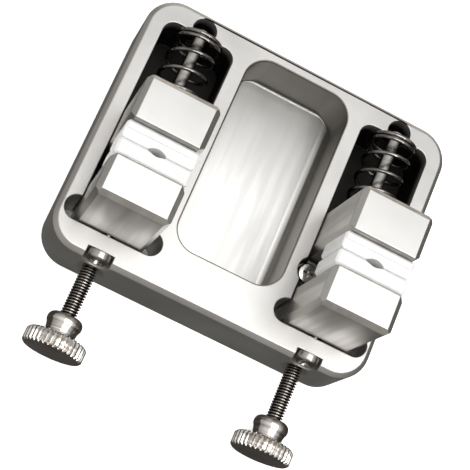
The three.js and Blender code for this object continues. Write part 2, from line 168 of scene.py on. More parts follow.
def make_camera():
    """The camera looks down from the front left, turned about its own line of sight."""
    level = math.cos(CAMERA_ELEVATION)
    forward = Vector(
        (
            -math.sin(CAMERA_AZIMUTH) * level,
            math.cos(CAMERA_AZIMUTH) * level,
            -math.sin(CAMERA_ELEVATION),
        )
    )
    across = Vector((math.cos(CAMERA_AZIMUTH), math.sin(CAMERA_AZIMUTH), 0))
    up = across.cross(forward)
    right = across * math.cos(CAMERA_ROLL) + up * math.sin(CAMERA_ROLL)
    turned = Matrix((right, right.cross(forward), -forward)).transposed().to_4x4()
    turned.translation = CAMERA_AIM - forward * CAMERA_DISTANCE
    lens = bpy.data.cameras.new("bench_camera")
    lens.lens = CAMERA_LENS
    lens.sensor_width = 36.0
    lens.clip_start = 0.01
    camera = bpy.data.objects.new("bench_camera", lens)
    camera.matrix_world = turned
    bpy.context.scene.collection.objects.link(camera)
    bpy.context.scene.camera = camera


def add_node(tree, kind, inputs=None, **settings):
    """A node with its settings, whose inputs are plain values or the outputs of other nodes."""
    made = tree.nodes.new(kind)
    for name, value in settings.items():
        setattr(made, name, value)
    for name, value in (inputs or {}).items():
        if isinstance(value, bpy.types.NodeSocket):
            tree.links.new(value, made.inputs[name])
        else:
            made.inputs[name].default_value = value
    return made


# the bench that metal sees, in metres and as strengths
BENCH_GLOW = 0.06
PATCH_GLOW = 0.9
PATCH_BEHIND = (0.05, 0.075)  # along Y, from no patch to full patch
PATCH_BESIDE = (0.06, 0.11)  # away from the middle, from full patch to none


def make_floor():
    """A plain pale floor. Metal sees it as a dark bench with a pale patch behind the base."""
    bm = bmesh.new()
    bmesh.ops.create_grid(bm, x_segments=1, y_segments=1, size=2.0)
    bmesh.ops.translate(bm, verts=bm.verts, vec=(0, 0, -0.1 * MM))
    mesh = bpy.data.meshes.new("floor")
    bm.to_mesh(mesh)
    bm.free()
    floor = bpy.data.objects.new("floor", mesh)
    bpy.context.scene.collection.objects.link(floor)
    material = bpy.data.materials.new("pale_floor")
    material.use_nodes = True
    tree = material.node_tree
    tree.nodes.clear()
    path = add_node(tree, "ShaderNodeLightPath")
    pale = add_node(tree, "ShaderNodeBsdfDiffuse", {"Color": (0.9, 0.9, 0.9, 1)})
    glow = add_node(tree, "ShaderNodeEmission", {"Color": (1, 1, 1, 1), "Strength": 0.55})
    lit = add_node(tree, "ShaderNodeAddShader", {0: pale.outputs[0], 1: glow.outputs[0]})
    place = add_node(tree, "ShaderNodeTexCoord").outputs["Object"]
    apart = add_node(tree, "ShaderNodeSeparateXYZ", {0: place})
    across = add_node(
        tree, "ShaderNodeMath", {0: apart.outputs["X"]}, operation="ABSOLUTE"
    ).outputs[0]
    behind = number_between(tree, apart.outputs["Y"], *PATCH_BEHIND, 0.0, PATCH_GLOW)
    beside = number_between(tree, across, *PATCH_BESIDE, 1.0, 0.0)
    patch = add_node(tree, "ShaderNodeMath", {0: behind, 1: beside}, operation="MULTIPLY")
    bench = add_node(
        tree, "ShaderNodeMath", {0: patch.outputs[0], 1: BENCH_GLOW}, operation="ADD"
    ).outputs[0]
    dim = add_node(
        tree, "ShaderNodeEmission", {"Color": (1, 0.93, 0.85, 1), "Strength": bench}
    )
    mixed = add_node(
        tree,
        "ShaderNodeMixShader",
        {0: path.outputs["Is Glossy Ray"], 1: lit.outputs[0], 2: dim.outputs[0]},
    )
    add_node(tree, "ShaderNodeOutputMaterial", {"Surface": mixed.outputs[0]})
    mesh.materials.append(material)


def colour_ramp(tree, factor, *stops):
    """A ramp of greys and tints: each stop is (position, colour)."""
    ramp = add_node(tree, "ShaderNodeValToRGB", {0: factor})
    marks = ramp.color_ramp.elements
    while len(marks) < len(stops):
        marks.new(0.5)
    for mark, (position, colour) in zip(marks, stops):
        mark.position = position
        mark.color = (*colour, 1)
    return ramp.outputs[0]


def make_sky():
    """A studio that is bright overhead, mid grey at the left and dark at the right."""
    world = bpy.data.worlds.new("studio")
    bpy.context.scene.world = world
    world.use_nodes = True
    tree = world.node_tree
    tree.nodes.clear()
    place = add_node(tree, "ShaderNodeTexCoord").outputs["Generated"]
    height = add_node(tree, "ShaderNodeSeparateXYZ", {0: place}).outputs["Z"]
    leftward = add_node(
        tree, "ShaderNodeVectorMath", {0: place, 1: (-0.5, 0, 0)}, operation="DOT_PRODUCT"
    ).outputs["Value"]
    spread = add_node(tree, "ShaderNodeMath", {0: leftward, 1: 0.5}, operation="ADD").outputs[0]
    walls = colour_ramp(
        tree,
        spread,
        (0.0, (0.10, 0.092, 0.083)),
        (0.45, (0.23, 0.213, 0.193)),
        (1.0, (0.48, 0.46, 0.43)),
    )
    ceiling = colour_ramp(
        tree, height, (0.0, (0, 0, 0)), (0.25, (0, 0, 0)), (0.85, (1, 1, 1))
    )
    blended = add_node(tree, "ShaderNodeMix", data_type="RGBA")
    tree.links.new(ceiling, blended.inputs[0])
    tree.links.new(walls, blended.inputs[MIX_FIRST])
    blended.inputs[MIX_SECOND].default_value = (0.95, 0.95, 0.94, 1)
    back = add_node(tree, "ShaderNodeBackground", {0: blended.outputs[MIX_RESULT], 1: 1.0})
    add_node(tree, "ShaderNodeOutputWorld", {"Surface": back.outputs[0]})


def soft_light(name, at, aim, size, power, colour, in_reflections=True):
    """A square softbox at `at`, facing `aim`."""
    lamp = bpy.data.lights.new(name, "AREA")
    lamp.size = size
    lamp.energy = power
    lamp.color = colour
    lamp_object = bpy.data.objects.new(name, lamp)
    lamp_object.location = at
    lamp_object.visible_glossy = in_reflections
    facing = Vector(aim) - Vector(at)
    lamp_object.rotation_euler = facing.to_track_quat("-Z", "Y").to_euler()
    bpy.context.scene.collection.objects.link(lamp_object)


def make_lights():
    soft_light("overhead", (0.13, -0.09, 0.60), (0.13, -0.09, 0), 0.5, 2.3, (1, 1, 1))
    soft_light("front_strip", (0.30, -0.35, 0.45), (0, -0.04, 0.01), 0.07, 0.25, (1, 1, 1))
    soft_light("fill", (-0.15, -0.25, 0.7), (0, 0, 0.03), 0.5, 0.7, (1, 1, 1), False)


# ---------------------------------------------------------------- shared surface effects


def new_group(name, inputs, outputs):
    """An empty shader node group: inputs are (name, kind, default), outputs are (name, kind)."""
    group = bpy.data.node_groups.new(name, "ShaderNodeTree")
    for label, kind, default in inputs:
        socket = group.interface.new_socket(label, in_out="INPUT", socket_type=kind)
        socket.default_value = default
    for label, kind in outputs:
        group.interface.new_socket(label, in_out="OUTPUT", socket_type=kind)
    return group, group.nodes.new("NodeGroupInput"), group.nodes.new("NodeGroupOutput")


def blasted_grain_group():
    """Fine bead-blasted grain, with broad soft patches of tone."""
    group, given, result = new_group(
        "blasted_grain",
        [("Place", "NodeSocketVector", (0, 0, 0)), ("Grain", "NodeSocketFloat", 3000.0)],
        [("Height", "NodeSocketFloat"), ("Patches", "NodeSocketFloat")],
    )
    fine = add_node(
        group,
        "ShaderNodeTexNoise",
        {"Vector": given.outputs["Place"], "Scale": given.outputs["Grain"], "Detail": 2.0},
    )
    broad = add_node(
        group,
        "ShaderNodeTexNoise",
        {"Vector": given.outputs["Place"], "Scale": 55.0, "Detail": 3.0, "Roughness": 0.6},
    )
    group.links.new(fine.outputs[0], result.inputs["Height"])
    group.links.new(broad.outputs[0], result.inputs["Patches"])
    return group


def tool_marks_group():
    """Straight tool marks: noise drawn out along one axis, in a fine and a broad set."""
    group, given, result = new_group(
        "tool_marks",
        [
            ("Place", "NodeSocketVector", (0, 0, 0)),
            ("Stretch", "NodeSocketVector", (1, 1, 1)),
            ("Broad", "NodeSocketFloat", 0.3),
        ],
        [("Height", "NodeSocketFloat"), ("Bands", "NodeSocketFloat")],
    )
    drawn = add_node(
        group,
        "ShaderNodeVectorMath",
        {0: given.outputs["Place"], 1: given.outputs["Stretch"]},
        operation="MULTIPLY",
    )
    fine = add_node(
        group, "ShaderNodeTexNoise", {"Vector": drawn.outputs[0], "Scale": 1.0, "Detail": 3.0}
    )
    broad = add_node(
        group,
        "ShaderNodeTexNoise",
        {"Vector": drawn.outputs[0], "Scale": given.outputs["Broad"], "Detail": 2.0},
    )
    group.links.new(fine.outputs[0], result.inputs["Height"])
    group.links.new(broad.outputs[0], result.inputs["Bands"])
    return group


BLASTED_GRAIN = blasted_grain_group()
TOOL_MARKS = tool_marks_group()


# ---------------------------------------------------------------- finishes

# places along Y, in metres, between which painted shade comes in: at the back of the tray, and at
# the rear of the clamp pockets
WALL_SHADE_SPAN = (-0.022, 0.024)
FLOOR_SHADE_SPAN = (0.002, 0.026)
POCKET_SHADE_STARTS = (-0.019, -0.012)
POCKET_SHADE_FADE = 0.0030  # depth over which the painted shade in the clamp pockets fades in

# tone of the painted shade deep in the rear of the clamp pockets
POCKET_SHADE_TONE = (0.018, 0.017, 0.016)
# tone of the painted shade in the thumb screws' thread grooves
GROOVE_PAINTED_SHADE = (0.05, 0.045, 0.04)


def start_finish(name, metallic):
    """A material with its shader and the object's own coordinates."""
    material = bpy.data.materials.new(name)
    material.use_nodes = True
    tree = material.node_tree
    shader = tree.nodes["Principled BSDF"]
    shader.inputs["Metallic"].default_value = metallic
    place = add_node(tree, "ShaderNodeTexCoord").outputs["Object"]
    return material, tree, shader, place


def shade_between(tree, factor, low, high, dark, light):
    """A colour that goes from dark to light as the factor goes from low to high."""
    share = add_node(
        tree,
        "ShaderNodeMapRange",
        {"Value": factor, "From Min": low, "From Max": high},
    )
    mixed = add_node(tree, "ShaderNodeMix", data_type="RGBA")
    tree.links.new(share.outputs[0], mixed.inputs[0])
    for socket, value in ((MIX_FIRST, dark), (MIX_SECOND, light)):
        if isinstance(value, bpy.types.NodeSocket):
            tree.links.new(value, mixed.inputs[socket])
        else:
            mixed.inputs[socket].default_value = (*value, 1)
    return mixed.outputs[MIX_RESULT]


def number_between(tree, factor, low, high, least, most):
    """A number that goes from least to most as the factor goes from low to high."""
    return add_node(
        tree,
        "ShaderNodeMapRange",
        {"Value": factor, "From Min": low, "From Max": high, "To Min": least, "To Max": most},
    ).outputs[0]


def add_relief(tree, shader, height, strength, depth, under=None):
    """A bump on the shader's normal, over another bump if one is given."""
    inputs = {"Strength": strength, "Distance": depth, "Height": height}
    if under is not None:
        inputs["Normal"] = under
    bump = add_node(tree, "ShaderNodeBump", inputs)
    tree.links.new(bump.outputs[0], shader.inputs["Normal"])
    return bump.outputs[0]


def shade_towards_back(tree, place, colour, front, back, tone):
    """Painted shade: a colour that goes over to a darker tone between two places along Y, towards
    the back.
    """
    along = add_node(tree, "ShaderNodeSeparateXYZ", {0: place}).outputs["Y"]
    return shade_between(tree, along, front, back, colour, tone)


def blasted_aluminium(name, dark, light, roughness, shade_below=None, back_shade=None):
    """Bead-blasted aluminium.

    Towards the back it can go over to a darker tone, which is painted shade, and below a given
    height in metres the rear of a clamp pocket is painted dark, which is painted shade too.
    """
    material, tree, shader, place = start_finish(name, 0.92)
    grain = add_node(tree, "ShaderNodeGroup", {}, node_tree=BLASTED_GRAIN)
    tree.links.new(place, grain.inputs["Place"])
    grain.inputs["Grain"].default_value = 3600.0
    colour = shade_between(tree, grain.outputs["Patches"], 0.3, 0.7, dark, light)
    rough = number_between(
        tree, grain.outputs["Patches"], 0.3, 0.7, roughness - 0.04, roughness + 0.05
    )
    # painted shade: darker towards the back of the tray
    if back_shade is not None:
        colour = shade_towards_back(tree, place, colour, *WALL_SHADE_SPAN, back_shade)
    # painted shade: the rear of a clamp pocket goes dark below a given height
    if shade_below is not None:
        apart = add_node(tree, "ShaderNodeSeparateXYZ", {0: place})
        deep = number_between(
            tree, apart.outputs["Z"], shade_below - POCKET_SHADE_FADE, shade_below, 1.0, 0.0
        )
        rear = number_between(tree, apart.outputs["Y"], *POCKET_SHADE_STARTS, 0.0, 1.0)
        pocket_shade = add_node(tree, "ShaderNodeMath", {0: deep, 1: rear}, operation="MULTIPLY")
        colour = shade_between(tree, pocket_shade.outputs[0], 0, 1, colour, POCKET_SHADE_TONE)
    tree.links.new(colour, shader.inputs["Base Color"])
    tree.links.new(rough, shader.inputs["Roughness"])
    add_relief(tree, shader, grain.outputs["Height"], 0.30, 0.00005)
    return material


def milled_aluminium(name, dark, light, stretch, roughness, back_shade=None):
    """Machined aluminium with straight cutter marks. Towards the back it goes over to a darker
    tone, which is painted shade.
    """
    material, tree, shader, place = start_finish(name, 0.9)
    marks = add_node(tree, "ShaderNodeGroup", {}, node_tree=TOOL_MARKS)
    tree.links.new(place, marks.inputs["Place"])
    marks.inputs["Stretch"].default_value = stretch
    grain = add_node(tree, "ShaderNodeGroup", {}, node_tree=BLASTED_GRAIN)
    tree.links.new(place, grain.inputs["Place"])
    grain.inputs["Grain"].default_value = 3200.0
    colour = shade_between(tree, marks.outputs["Bands"], 0.38, 0.64, dark, light)
    # painted shade: darker towards the back of the tray
    if back_shade is not None:
        colour = shade_towards_back(tree, place, colour, *FLOOR_SHADE_SPAN, back_shade)
    tree.links.new(colour, shader.inputs["Base Color"])
    rough = number_between(
        tree, marks.outputs["Bands"], 0.35, 0.65, roughness + 0.06, roughness - 0.05
    )
    tree.links.new(rough, shader.inputs["Roughness"])
    first = add_relief(tree, shader, grain.outputs["Height"], 0.25, 0.00005)
    add_relief(tree, shader, marks.outputs["Height"], 0.25, 0.0001, first)
    return material


def white_plastic(name):
    """Machined white acetal: nearly even, with faint cutter lines across and a soft gloss."""
    material, tree, shader, place = start_finish(name, 0.0)
    marks = add_node(tree, "ShaderNodeGroup", {}, node_tree=TOOL_MARKS)
    tree.links.new(place, marks.inputs["Place"])
    marks.inputs["Stretch"].default_value = (60, 2600, 400)
    colour = shade_between(
        tree, marks.outputs["Bands"], 0.3, 0.7, (0.73, 0.73, 0.72), (0.78, 0.78, 0.77)
    )
    tree.links.new(colour, shader.inputs["Base Color"])
    rough = number_between(tree, marks.outputs["Bands"], 0.3, 0.7, 0.34, 0.44)
    tree.links.new(rough, shader.inputs["Roughness"])
    shader.inputs["Subsurface Weight"].default_value = 0.15
    shader.inputs["Subsurface Radius"].default_value = (0.0012, 0.0011, 0.001)
    shader.inputs["Subsurface Scale"].default_value = 1.0
    add_relief(tree, shader, marks.outputs["Height"], 0.08, 0.00004)
    return material


def paint_groove_shade(tree, place, colour):
    """Painted shade: darkens the bottoms of the thumb screws' threads."""
    apart = add_node(tree, "ShaderNodeSeparateXYZ", {0: place})
    across = add_node(tree, "ShaderNodeMath", {0: apart.outputs["X"]}, operation="ABSOLUTE")
    # metres become millimetres away from a screw's own axis
    metre = 1 / MM
    centred = add_node(
        tree,
        "ShaderNodeCombineXYZ",
        {
            "X": number_between(tree, across.outputs[0], 0, 1, -CLAMP_X, metre - CLAMP_X),
            "Z": number_between(
                tree, apart.outputs["Z"], 0, 1, -SCREW_HEIGHT, metre - SCREW_HEIGHT
            ),
        },
    )
    radius = add_node(
        tree, "ShaderNodeVectorMath", {0: centred.outputs[0]}, operation="LENGTH"
    ).outputs["Value"]
    inside = number_between(tree, radius, GROOVE_SHADE - 0.25, GROOVE_SHADE, 1.0, 0.0)
    collars = (min(COLLAR_BACK.values()) + 0.2) * MM
    behind = number_between(tree, apart.outputs["Y"], collars, collars + 0.1 * MM, 0.0, 1.0)
    groove = add_node(tree, "ShaderNodeMath", {0: inside, 1: behind}, operation="MULTIPLY")
    return shade_between(tree, groove.outputs[0], 0, 1, colour, GROOVE_PAINTED_SHADE)


def turned_steel(name, dark, light, stretch, roughness, grooves=False):
    """Plated or ground steel with fine lines left by turning or drawing."""
    material, tree, shader, place = start_finish(name, 1.0)
    marks = add_node(tree, "ShaderNodeGroup", {}, node_tree=TOOL_MARKS)
    tree.links.new(place, marks.inputs["Place"])
    marks.inputs["Stretch"].default_value = stretch
    colour = shade_between(tree, marks.outputs["Bands"], 0.35, 0.65, dark, light)
    # painted shade in the bottoms of the thread
    if grooves:
        colour = paint_groove_shade(tree, place, colour)
    tree.links.new(colour, shader.inputs["Base Color"])
    rough = number_between(
        tree, marks.outputs["Height"], 0.3, 0.7, roughness - 0.05, roughness + 0.08
    )
    tree.links.new(rough, shader.inputs["Roughness"])
    add_relief(tree, shader, marks.outputs["Height"], 0.2, 0.00004)
    return material


BASE_FINISH = blasted_aluminium(
    "base_aluminium", (0.50, 0.49, 0.475), (0.58, 0.57, 0.555), 0.38
)
# the clamp pockets: blasted aluminium with painted shade deep at the rear
POCKET_FINISH = blasted_aluminium(
    "pocket_aluminium_painted_shade", (0.55, 0.54, 0.53), (0.66, 0.65, 0.63), 0.45, 0.0172
)
# the tray walls: a darker copy of the base's blasted aluminium, which is painted shade, and darker
# still at the back
TRAY_WALL_PAINTED_SHADE = blasted_aluminium(
    "tray_wall_painted_shade_aluminium", (0.40, 0.385, 0.36), (0.48, 0.46, 0.43), 0.42, back_shade=(0.21, 0.198, 0.182)
)
# the tray floor: real cutter marks, with painted shade towards the back
TRAY_FINISH = milled_aluminium(
    "milled_tray_floor",
    (0.66, 0.655, 0.64),
    (0.76, 0.755, 0.74),
    (1300, 110, 1300),
    0.40,
    back_shade=(0.42, 0.415, 0.40),
)
JAW_FINISH = blasted_aluminium(
    "jaw_aluminium", (0.53, 0.525, 0.51), (0.59, 0.585, 0.57), 0.32
)
# the jaws' sides: real cutter marks, in a darker tone that is painted shade
JAW_SIDE_MILLED_AND_SHADED = milled_aluminium(
    "jaw_side_milled_and_painted_shade", (0.40, 0.385, 0.36), (0.54, 0.52, 0.49), (900, 900, 70), 0.36
)
PAD_FINISH = white_plastic("pad_plastic")
# the thumb screws: plated steel, with painted shade in the thread's grooves
NICKEL_FINISH = turned_steel(
    "screw_nickel",
    (0.46, 0.43, 0.40),
    (0.80, 0.77, 0.73),
    (300, 5200, 300),
    0.14,
    grooves=True,
)
SCREW_FINISH = turned_steel(
    "screw_steel", (0.46, 0.44, 0.42), (0.74, 0.72, 0.69), (700, 700, 5000), 0.18
)
SPRING_FINISH = turned_steel(
    "spring_steel", (0.15, 0.14, 0.135), (0.32, 0.305, 0.29), (900, 900, 900), 0.14
)
ROD_FINISH = turned_steel(
    "rod_steel", (0.38, 0.37, 0.345), (0.46, 0.445, 0.42), (300, 4000, 300), 0.20
)


# ---------------------------------------------------------------- making pieces


def add_piece(name, bm, body, slot, finishes, *nodes):
    """A finished mesh as a piece on its body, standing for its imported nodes."""
    mesh = bpy.data.meshes.new(name)
    bm.to_mesh(mesh)
    bm.free()
    for finish in finishes:
        mesh.materials.append(finish)
    piece = bpy.data.objects.new(name, mesh)
    bpy.context.scene.collection.objects.link(piece)
    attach(piece, body)
    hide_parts(*nodes)
    return piece


def smooth_by_angle(bm, degrees):
    """Smooth faces, with the edges that turn more than this left sharp."""
    limit = math.radians(degrees)
    for face in bm.faces:
        face.smooth = True
    for edge in bm.edges:
        edge.smooth = edge.calc_face_angle(0) < limit


def clean_copy(node):
    """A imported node's shape with its doubles merged and its flat faces made whole."""
    bm = bmesh.new()
    bm.from_mesh(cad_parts[node].data)
    bmesh.ops.remove_doubles(bm, verts=bm.verts, dist=MERGE_WITHIN * MM)
    bmesh.ops.dissolve_limit(
        bm, angle_limit=math.radians(FLAT_WITHIN), verts=bm.verts, edges=bm.edges
    )
    return bm


def break_edges(bm, width, segments=2, chosen=lambda edge: True):
    """Bevels the sharp edges, or the chosen ones among them."""
    sharp = [
        edge
        for edge in bm.edges
        if edge.calc_face_angle(0) > math.radians(SHARP_FROM) and chosen(edge)
    ]
    bmesh.ops.bevel(
        bm,
        geom=sharp,
        offset=width * MM,
        offset_type="OFFSET",
        segments=segments,
        profile=0.5,
        affect="EDGES",
        material=-1,
        clamp_overlap=False,
    )
    smooth_by_angle(bm, 46)
    return bm


def weigh_normals(piece):
    """Large faces stay flat and the broken edges round off between them."""
    weighted = piece.modifiers.new("flat_faces", "WEIGHTED_NORMAL")
    weighted.keep_sharp = True
    weighted.weight = 80


def turned_on_y(bm, x, z, profile, steps=48):
    """A closed turned solid about an axis along Y: the profile is (radius, y)."""
    known = set(bm.verts)
    points = [(0, profile[0][1]), *profile, (0, profile[-1][1])]
    verts = [bm.verts.new(Vector((x + r, y, z)) * MM) for r, y in points]
    edges = [bm.edges.new(pair) for pair in zip(verts, verts[1:])]
    bmesh.ops.spin(
        bm,
        geom=verts + edges,
        cent=Vector((x, 0, z)) * MM,
        axis=(0, 1, 0),
        dvec=(0, 0, 0),
        angle=TURN,
        steps=steps,
        use_merge=True,
        use_duplicate=False,
    )
    made = [vertex for vertex in bm.verts if vertex not in known]
    bmesh.ops.remove_doubles(bm, verts=made, dist=0.001 * MM)
    made = [vertex for vertex in bm.verts if vertex not in known]
    faces = {face for vertex in made for face in vertex.link_faces}
    bmesh.ops.recalc_face_normals(bm, faces=list(faces))
    return made


def knurl(verts, x, z, y0, y1, radius):
    """Cuts straight grooves into the part of a knob beyond `radius`, fading out at its edges."""
    for vertex in verts:
        across = Vector((vertex.co.x - x * MM, 0, vertex.co.z - z * MM))
        reach = across.length / MM
        if reach < radius or not y0 < vertex.co.y / MM < y1:
            continue
        phase = (math.atan2(across.z, across.x) / TURN * KNOB_RIDGES) % 1
        groove = max(0.0, 1 - abs(phase - 0.5) * GROOVE_SLOPE)
        vertex.co -= across * (min(groove, 1.0) * RIDGE_DEPTH / reach)


def stand_up(bm, verts, x, y):
    """Turns what was made about the Y axis at the origin upright, and puts it in place."""
    bmesh.ops.rotate(
        bm, verts=verts, cent=(0, 0, 0), matrix=Matrix.Rotation(math.pi / 2, 3, "X")
    )
    bmesh.ops.translate(bm, verts=verts, vec=Vector((x, y, 0)) * MM)


def swept_turns(bm, geom, x, z, turns, travel, steps_per_turn):
    """Sweeps an outline round an axis along Y while it travels, and gives its last edge loop."""
    steps = max(3, round(abs(turns) * steps_per_turn))
    swept = bmesh.ops.spin(
        bm,
        geom=geom,
        cent=Vector((x, 0, z)) * MM,
        axis=(0, 1, 0),
        dvec=Vector((0, travel / steps, 0)) * MM,
        angle=turns * TURN,
        steps=steps,
        use_merge=False,
        use_duplicate=False,
    )
    return swept["geom_last"]


def thread(bm, x, z, start, end):
    """A right-hand thread as one closed spiral body between two places along Y."""
    crest = 0.05 * THREAD_PITCH
    outline = [
        (THREAD_RADIUS, 0.0),
        (THREAD_RADIUS, crest),
        (THREAD_ROOT, 0.42 * THREAD_PITCH),
        (THREAD_ROOT, 0.60 * THREAD_PITCH),
        (THREAD_RADIUS, THREAD_PITCH - crest),
        (THREAD_RADIUS, THREAD_PITCH),
    ]
    verts = [bm.verts.new(Vector((x + r, start + y, z)) * MM) for r, y in outline]
    edges = [bm.edges.new(pair) for pair in zip(verts, verts[1:])]
    known = set(bm.verts) - set(verts)
    swept_turns(bm, verts + edges, x, z, 1, THREAD_PITCH, THREAD_STEPS)
    first = [vertex for vertex in bm.verts if vertex not in known]
    bmesh.ops.remove_doubles(bm, verts=first, dist=0.01 * MM)
    first = [vertex for vertex in bm.verts if vertex not in known]
    faces = list({face for vertex in first for face in vertex.link_faces})
    for count in range(1, int((end - start) / THREAD_PITCH) - 1):
        copied = bmesh.ops.duplicate(bm, geom=faces)["geom"]
        moved = [item for item in copied if isinstance(item, bmesh.types.BMVert)]
        bmesh.ops.translate(bm, verts=moved, vec=(0, count * THREAD_PITCH * MM, 0))
    made = [vertex for vertex in bm.verts if vertex not in known]
    bmesh.ops.remove_doubles(bm, verts=made, dist=0.01 * MM)
    made = [vertex for vertex in bm.verts if vertex not in known]
    open_edges = list({e for v in made for e in v.link_edges if e.is_boundary})
    bmesh.ops.holes_fill(bm, edges=open_edges, sides=0)


def cut_from(name, bm, cutter):
    """The mesh with the cutter's shape taken out of it, as a new bmesh."""
    pair = []
    for label, made in ((name, bm), (name + "_cutter", cutter)):
        bmesh.ops.recalc_face_normals(made, faces=made.faces)
        mesh = bpy.data.meshes.new(label)
        made.to_mesh(mesh)
        made.free()
        body = bpy.data.objects.new(label, mesh)
        bpy.context.scene.collection.objects.link(body)
        pair.append(body)
    cut = pair[0].modifiers.new("recess", "BOOLEAN")
    cut.operation = "DIFFERENCE"
    cut.solver = "EXACT"
    cut.object = pair[1]
    bpy.context.view_layer.update()
    result = bmesh.new()
    result.from_object(pair[0], bpy.context.evaluated_depsgraph_get())
    for body in pair:
        mesh = body.data
        bpy.data.objects.remove(body)
        bpy.data.meshes.remove(mesh)
    return result


def recess_bar(face, depth, half_x, half_z, direction=1):
    """One tapered bar of a cross recess, cut inwards from a screw head's face on the Y axis."""
    cutter = bmesh.new()
    made = bmesh.ops.create_cube(cutter, size=1.0)["verts"]
    for vertex in made:
        deep = vertex.co.y > 0
        share = RECESS_TAPER if deep else 1.0
        vertex.co.x *= 2 * half_x * share
        vertex.co.z *= 2 * half_z * share
        vertex.co.y = face + direction * (depth if deep else -RECESS_LEAD)
    bmesh.ops.scale(cutter, verts=made, vec=(MM, MM, MM))
    return cutter


def cut_cross(name, bm, face, depth, half_length, half_width, direction=1):
    """A cross recess, as two bars cut one after the other."""
    bm = cut_from(name, bm, recess_bar(face, depth, half_length, half_width, direction))
    return cut_from(name, bm, recess_bar(face, depth, half_width, half_length, direction))


# ---------------------------------------------------------------- base, jaws and pads


def on_tray_rim(edge):
    """Whether an edge runs round the tray in the base's top face."""
    middle = (edge.verts[0].co + edge.verts[1].co) / 2 / MM
    level = min(vertex.co.z / MM for vertex in edge.verts) > BASE_HEIGHT - 0.01
    inside = abs(middle.x) < TRAY_HALF + 0.1 and abs(middle.y - TRAY_MIDDLE) < TRAY_REACH + 0.1
    return level and inside


def finish_base():
    """The base: blasted outside, cutter marks in the tray, and painted shade on the tray's walls,
    its rim and its back, and deep in the clamp pockets.
    """
    finishes = [BASE_FINISH, TRAY_FINISH, POCKET_FINISH, TRAY_WALL_PAINTED_SHADE]
    bm = clean_copy("base_plate")
    break_edges(bm, BASE_EDGE, 2, lambda edge: not on_tray_rim(edge))
    break_edges(bm, TRAY_RIM_EDGE, 1, on_tray_rim)
    # faces are told apart by their middles, and the margins allow for the broken edges
    for face in bm.faces:
        x, y, z = face.calc_center_median() / MM
        sideways = (abs(x) - CLAMP_X) * math.copysign(1, x) * face.normal.x
        facing_in = sideways + (y - POCKET_MIDDLE) * face.normal.y < 0.01
        near = abs(abs(x) - CLAMP_X) < POCKET_REACH and POCKET_FRONT < y < POCKET_BACK
        in_pocket = near and facing_in
        in_tray = abs(x) < TRAY_HALF + 0.4 and abs(y - TRAY_MIDDLE) < TRAY_REACH + 0.4
        if in_tray and z < FLOOR_HEIGHT + 0.4 and face.normal.z > 0.6:
            face.material_index = finishes.index(TRAY_FINISH)
        # tray walls and the tray's broken rim take the darker copy of the aluminium, which is
        # painted shade
        elif in_tray and FLOOR_HEIGHT < z < BASE_HEIGHT - 0.01:
            face.material_index = finishes.index(TRAY_WALL_PAINTED_SHADE)
        # pocket walls take the finish with painted shade deep at the rear
        elif in_pocket and FLOOR_HEIGHT - 0.1 < z < BASE_HEIGHT - 0.25:
            face.material_index = finishes.index(POCKET_FINISH)
    piece = add_piece("base_block", bm, "base", "base_aluminium", finishes, "base_plate")
    weigh_normals(piece)


def finish_jaws_and_pads(name):
    """The two jaws and two pads of one clamp, with broken edges. The jaws' sides and all their
    chamfers but the left ones take a darker milled finish: real cutter marks, and painted shade in
    its darker tone.
    """
    for place, body in (("front", "base"), ("rear", f"{name}_rear_jaw")):
        for part, slot, finishes, width in (
            ("jaw", "jaw_aluminium", [JAW_FINISH, JAW_SIDE_MILLED_AND_SHADED], JAW_EDGE),
            ("pad", "pad_plastic", [PAD_FINISH], PAD_EDGE),
        ):
            node = f"{name}_{place}_{part}"
            bm = break_edges(clean_copy(node), width)
            if part == "jaw":
                for face in bm.faces:
                    # painted shade: the left chamfers keep the lighter top finish, and the sides
                    # and the other chamfers take the darker one
                    left_chamfer = face.normal.x < -0.3 and face.normal.z > 0.3
                    upright = abs(face.normal.z) < 0.9
                    face.material_index = int(upright and not left_chamfer)
            piece = add_piece(f"{node}_finished", bm, body, slot, finishes, node)
            weigh_normals(piece)


# ---------------------------------------------------------------- springs


def wind_spring(name):
    """A compression spring with closed turns at both ends."""
    x = SIDES[name] * CLAMP_X
    bm = bmesh.new()
    made = bmesh.ops.create_circle(bm, segments=12, radius=SPRING_WIRE * MM)["verts"]
    start = Vector((x + SPRING_RADIUS, SPRING_REAR, ROD_HEIGHT)) * MM
    bmesh.ops.translate(bm, verts=made, vec=start)
    closed = (SPRING_CLOSED_REAR + SPRING_CLOSED_FRONT) * SPRING_CLOSED_PITCH
    open_turns = (SPRING_REAR - SPRING_FRONT - closed) / SPRING_PITCH
    outline = list(bm.verts) + list(bm.edges)
    for turns, pitch in (
        (SPRING_CLOSED_REAR, SPRING_CLOSED_PITCH),
        (open_turns, SPRING_PITCH),
        (SPRING_CLOSED_FRONT, SPRING_CLOSED_PITCH),
    ):
        travel = -turns * pitch
        outline = swept_turns(bm, outline, x, ROD_HEIGHT, -turns, travel, SPRING_STEPS)
    bmesh.ops.remove_doubles(bm, verts=bm.verts, dist=0.002 * MM)
    open_edges = [edge for edge in bm.edges if edge.is_boundary]
    bmesh.ops.holes_fill(bm, edges=open_edges, sides=0)
    bmesh.ops.recalc_face_normals(bm, faces=bm.faces)
    smooth_by_angle(bm, 50)
    piece = add_piece(
        f"{name}_spring_coil", bm, "base", "spring_steel", [SPRING_FINISH], f"{name}_spring"
    )
    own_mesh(piece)


# ---------------------------------------------------------------- rods and screws


